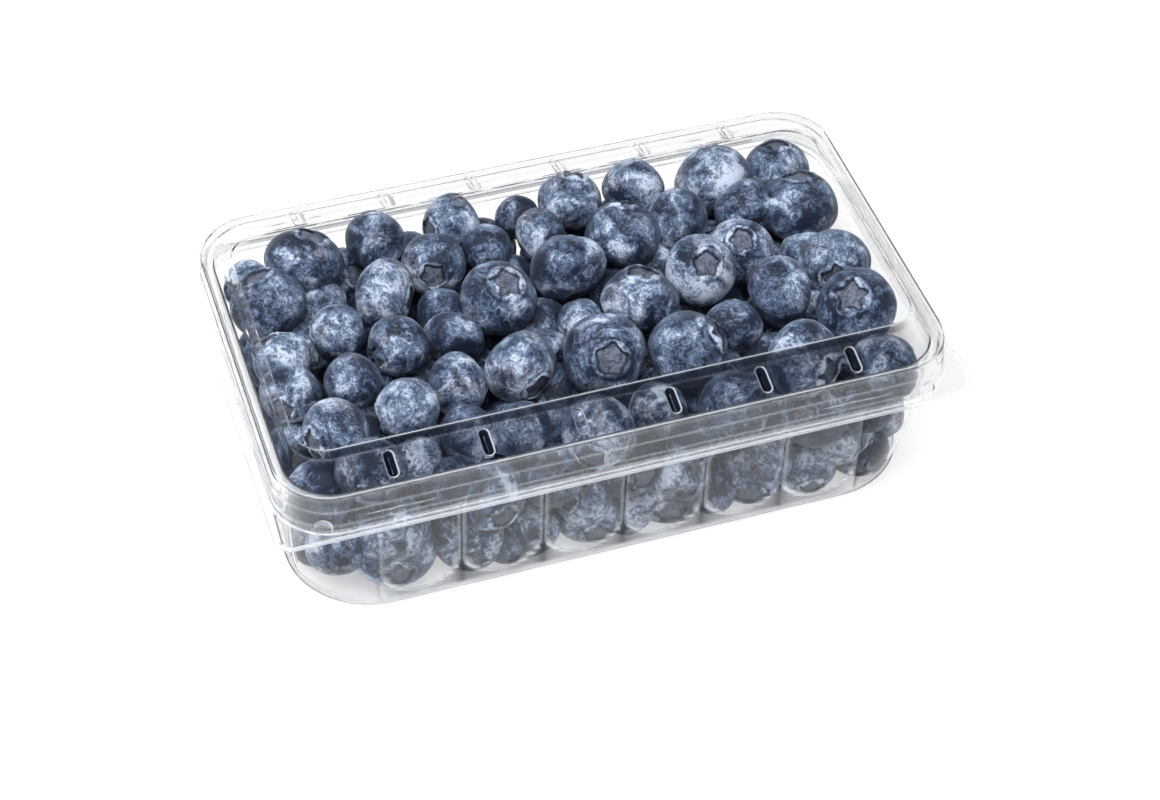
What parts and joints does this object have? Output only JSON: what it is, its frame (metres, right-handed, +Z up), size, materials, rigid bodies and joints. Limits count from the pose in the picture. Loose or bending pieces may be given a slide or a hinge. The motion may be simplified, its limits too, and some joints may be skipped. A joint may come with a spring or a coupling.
{
  "type": "punnet of blueberries",
  "caption": "Clear hinged berry punnet with a fluted tray and a raised, vented lid that clips shut, filled to the lid with whole blueberries.",
  "frame": {"origin": "centre of the underside of the tray's floor, on the surface the pack stands on", "axes": "+X along the long side, +Y to the back edge where the lid is hinged, +Z up out of the tray"},
  "size_m": [0.1934, 0.1152, 0.0563],
  "materials": {
    "tray_plastic": "clear, colourless, smooth formed plastic sheet",
    "lid_plastic": "clear, colourless, smooth formed plastic sheet",
    "berry_skin": "fruit skin, satin dark blue under a patchy pale bloom"
  },
  "bodies": {
    "tray": {"tray": "tray_plastic", "blueberries": "berry_skin"},
    "lid": {"lid": "lid_plastic"}
  },
  "joints": [
    {"name": "lid_hinge", "type": "hinge", "parent": "tray", "child": "lid", "pos_m": [0, 0.0578, 0.03945], "axis": [-1, 0, 0], "range_deg": [0, 180]}
  ]
}
